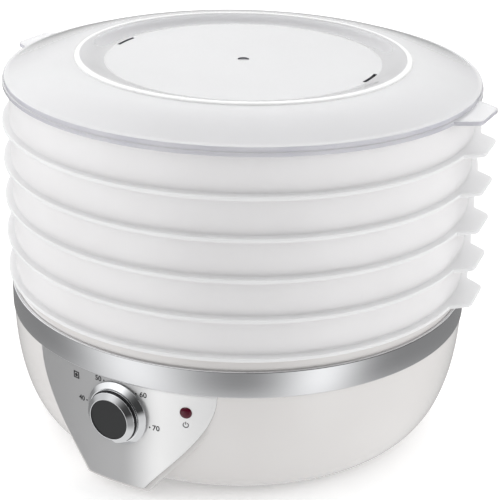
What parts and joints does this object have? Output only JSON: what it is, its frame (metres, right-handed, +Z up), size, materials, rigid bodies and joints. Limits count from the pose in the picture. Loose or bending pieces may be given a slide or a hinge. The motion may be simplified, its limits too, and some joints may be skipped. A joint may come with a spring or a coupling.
{
  "type": "food dehydrator",
  "caption": "Round food dehydrator with a white heated fan base, chrome band and dial, stacked milky trays and a clear lid.",
  "frame": {"origin": "on the table, under the centre of the base", "axes": "+Z up, the control panel faces -Y, the lifting tabs point along X"},
  "size_m": [0.3446, 0.3358, 0.2553],
  "materials": {
    "base_white": "glossy pearl white moulding",
    "chrome_trim": "polished chrome plating",
    "panel_silver": "satin silver paint",
    "lamp_red": "clear tinted lens",
    "lamp_glass": "clear glass envelope",
    "control_plastic": "moulded black thermostat case",
    "bright_steel": "plain bright steel",
    "knob_dark": "satin charcoal face",
    "gland_rubber": "matt black rubber",
    "ivory_plastic": "moulded ivory terminal block",
    "wire_sheath": "smooth silicone sheath",
    "duct_metal": "plain sheet aluminium",
    "lamination_steel": "stacked steel laminations",
    "copper_winding": "enamelled copper winding",
    "fan_plastic": "moulded dark plastic",
    "mica_sheet": "pressed mica board",
    "heater_wire": "oxidised resistance wire",
    "cutout_ceramic": "unglazed ceramic",
    "foot_rubber": "matt rubber",
    "tray_milky": "milky translucent plastic with a soft sheen",
    "lid_clear": "clear plastic with a faint cool tint"
  },
  "bodies": {
    "base": {"base_shell": "base_white", "chrome_band": "chrome_trim", "top_cover": "base_white", "outlet_grille": "base_white", "front_panel": "panel_silver", "indicator_lens": "lamp_red", "neon_lamp": "lamp_glass", "thermostat_body": "control_plastic", "thermostat_nut": "bright_steel", "cord_gland": "gland_rubber", "terminal_block": "ivory_plastic", "wiring": "wire_sheath", "fan_duct": "duct_metal", "motor_bracket": "bright_steel", "motor_end_bracket": "bright_steel", "motor_stator": "lamination_steel", "motor_coil": "copper_winding", "motor_screws": "bright_steel", "heater_frame": "mica_sheet", "heater_element": "heater_wire", "thermal_cutout": "cutout_ceramic", "bottom_cover": "base_white", "cover_screws": "bright_steel", "foot_1": "foot_rubber", "foot_2": "foot_rubber", "foot_3": "foot_rubber", "foot_4": "foot_rubber"},
    "knob": {"knob_skirt": "chrome_trim", "knob_body": "chrome_trim", "knob_face": "knob_dark", "thermostat_shaft": "bright_steel"},
    "rotor": {"fan_impeller": "fan_plastic", "motor_rotor": "lamination_steel", "motor_shaft": "bright_steel"},
    "tray_5": {"tray_5": "tray_milky", "grid_5": "tray_milky"},
    "tray_4": {"tray_4": "tray_milky", "grid_4": "tray_milky"},
    "tray_3": {"tray_3": "tray_milky", "grid_3": "tray_milky"},
    "tray_2": {"tray_2": "tray_milky", "grid_2": "tray_milky"},
    "tray_1": {"tray_1": "tray_milky", "grid_1": "tray_milky"},
    "lid": {"lid": "lid_clear"}
  },
  "joints": [
    {"name": "knob_turn", "type": "hinge", "parent": "base", "child": "knob", "pos_m": [0.0025, -0.163, 0.0598], "axis": [0, 1, 0], "range_deg": [0, 180]},
    {"name": "fan_spin", "type": "hinge", "parent": "base", "child": "rotor", "pos_m": [0, 0, 0.042], "axis": [0, 0, 1], "continuous": true},
    {"name": "tray_5_lift", "type": "slide", "parent": "base", "child": "tray_5", "axis": [0, 0, 1], "range_m": [0, 0.08]},
    {"name": "tray_4_lift", "type": "slide", "parent": "tray_5", "child": "tray_4", "axis": [0, 0, 1], "range_m": [0, 0.08]},
    {"name": "tray_3_lift", "type": "slide", "parent": "tray_4", "child": "tray_3", "axis": [0, 0, 1], "range_m": [0, 0.08]},
    {"name": "tray_2_lift", "type": "slide", "parent": "tray_3", "child": "tray_2", "axis": [0, 0, 1], "range_m": [0, 0.08]},
    {"name": "tray_1_lift", "type": "slide", "parent": "tray_2", "child": "tray_1", "axis": [0, 0, 1], "range_m": [0, 0.08]},
    {"name": "lid_lift", "type": "slide", "parent": "tray_1", "child": "lid", "axis": [0, 0, 1], "range_m": [0, 0.1]}
  ]
}
